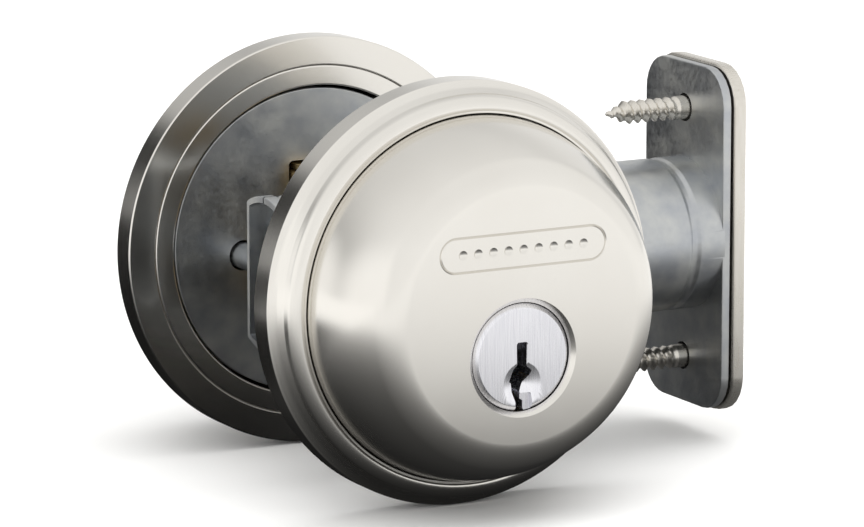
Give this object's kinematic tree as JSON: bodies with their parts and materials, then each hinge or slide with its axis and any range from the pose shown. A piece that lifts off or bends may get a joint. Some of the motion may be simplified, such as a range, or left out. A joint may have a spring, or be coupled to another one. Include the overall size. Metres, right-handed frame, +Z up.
{
  "type": "deadbolt door lock",
  "caption": "Round-rose deadbolt keyed from both sides of a door, with pin cylinders, a crank cam and a sliding bolt behind a faceplate.",
  "frame": {"origin": "on the axis of the two roses, at the door's outside face", "axes": "+X towards the door edge, along the bolt's throw; +Y through the door from outside to inside; +Z up"},
  "size_m": [0.0941, 0.0936, 0.0666],
  "materials": {
    "satin_nickel": "satin nickel plate, soft warm sheen",
    "plug_nickel": "bright nickel with fine upright brush lines",
    "brass": "plain machined brass",
    "zinc_steel": "zinc-plated steel",
    "hard_steel": "dark hardened steel",
    "spring_steel": "drawn spring wire"
  },
  "bodies": {
    "root": {"outside_trim_ring": "satin_nickel", "outside_housing": "satin_nickel", "outside_mounting_plate": "zinc_steel", "outside_cylinder_shell": "brass", "outside_pin_cover": "brass", "outside_driver_pin_1": "brass", "outside_pin_spring_1": "spring_steel", "outside_driver_pin_2": "brass", "outside_pin_spring_2": "spring_steel", "outside_driver_pin_3": "brass", "outside_pin_spring_3": "spring_steel", "outside_driver_pin_4": "brass", "outside_pin_spring_4": "spring_steel", "outside_driver_pin_5": "brass", "outside_pin_spring_5": "spring_steel", "inside_trim_ring": "satin_nickel", "inside_housing": "satin_nickel", "inside_mounting_plate": "zinc_steel", "inside_cylinder_shell": "brass", "inside_pin_cover": "brass", "inside_driver_pin_1": "brass", "inside_pin_spring_1": "spring_steel", "inside_driver_pin_2": "brass", "inside_pin_spring_2": "spring_steel", "inside_driver_pin_3": "brass", "inside_pin_spring_3": "spring_steel", "inside_driver_pin_4": "brass", "inside_pin_spring_4": "spring_steel", "inside_driver_pin_5": "brass", "inside_pin_spring_5": "spring_steel", "through_bolt_hinge_side": "zinc_steel", "through_bolt_edge_side": "zinc_steel", "screw_cap_hinge_side": "satin_nickel", "screw_cap_edge_side": "satin_nickel", "bolt_case_outside_half": "zinc_steel", "bolt_case_inside_half": "zinc_steel", "bolt_sleeve": "zinc_steel", "faceplate": "satin_nickel", "faceplate_screw_top": "satin_nickel", "faceplate_screw_bottom": "satin_nickel"},
    "outside_plug": {"outside_plug": "plug_nickel", "outside_cylinder_cap": "brass", "outside_tailpiece": "zinc_steel", "outside_key_pin_1": "brass", "outside_key_pin_2": "brass", "outside_key_pin_3": "brass", "outside_key_pin_4": "brass", "outside_key_pin_5": "brass"},
    "inside_plug": {"inside_plug": "plug_nickel", "inside_cylinder_cap": "brass", "inside_tailpiece": "zinc_steel", "inside_key_pin_1": "brass", "inside_key_pin_2": "brass", "inside_key_pin_3": "brass", "inside_key_pin_4": "brass", "inside_key_pin_5": "brass"},
    "cam": {"bolt_cam": "zinc_steel"},
    "bolt": {"bolt": "satin_nickel", "bolt_hardened_pin": "hard_steel", "bolt_tail": "zinc_steel"}
  },
  "joints": [
    {"name": "bolt_throw", "type": "slide", "parent": "root", "child": "bolt", "axis": [1, 0, 0], "range_m": [0, 0.0254]},
    {"name": "cam_turn", "type": "hinge", "parent": "root", "child": "cam", "pos_m": [0, 0.02223, -0.0064], "axis": [0, 1, 0], "range_deg": [0, 90]},
    {"name": "outside_key_turn", "type": "hinge", "parent": "root", "child": "outside_plug", "pos_m": [0, 0, -0.0064], "axis": [0, 1, 0], "range_deg": [0, 90]},
    {"name": "inside_key_turn", "type": "hinge", "parent": "root", "child": "inside_plug", "pos_m": [0, 0.04445, -0.0064], "axis": [0, 1, 0], "range_deg": [-90, 90]}
  ],
  "couplings": [
    {"joint": "cam_turn", "follows": "bolt_throw", "rad_per_m": 61.84},
    {"joint": "outside_key_turn", "follows": "bolt_throw", "rad_per_m": 61.84}
  ]
}
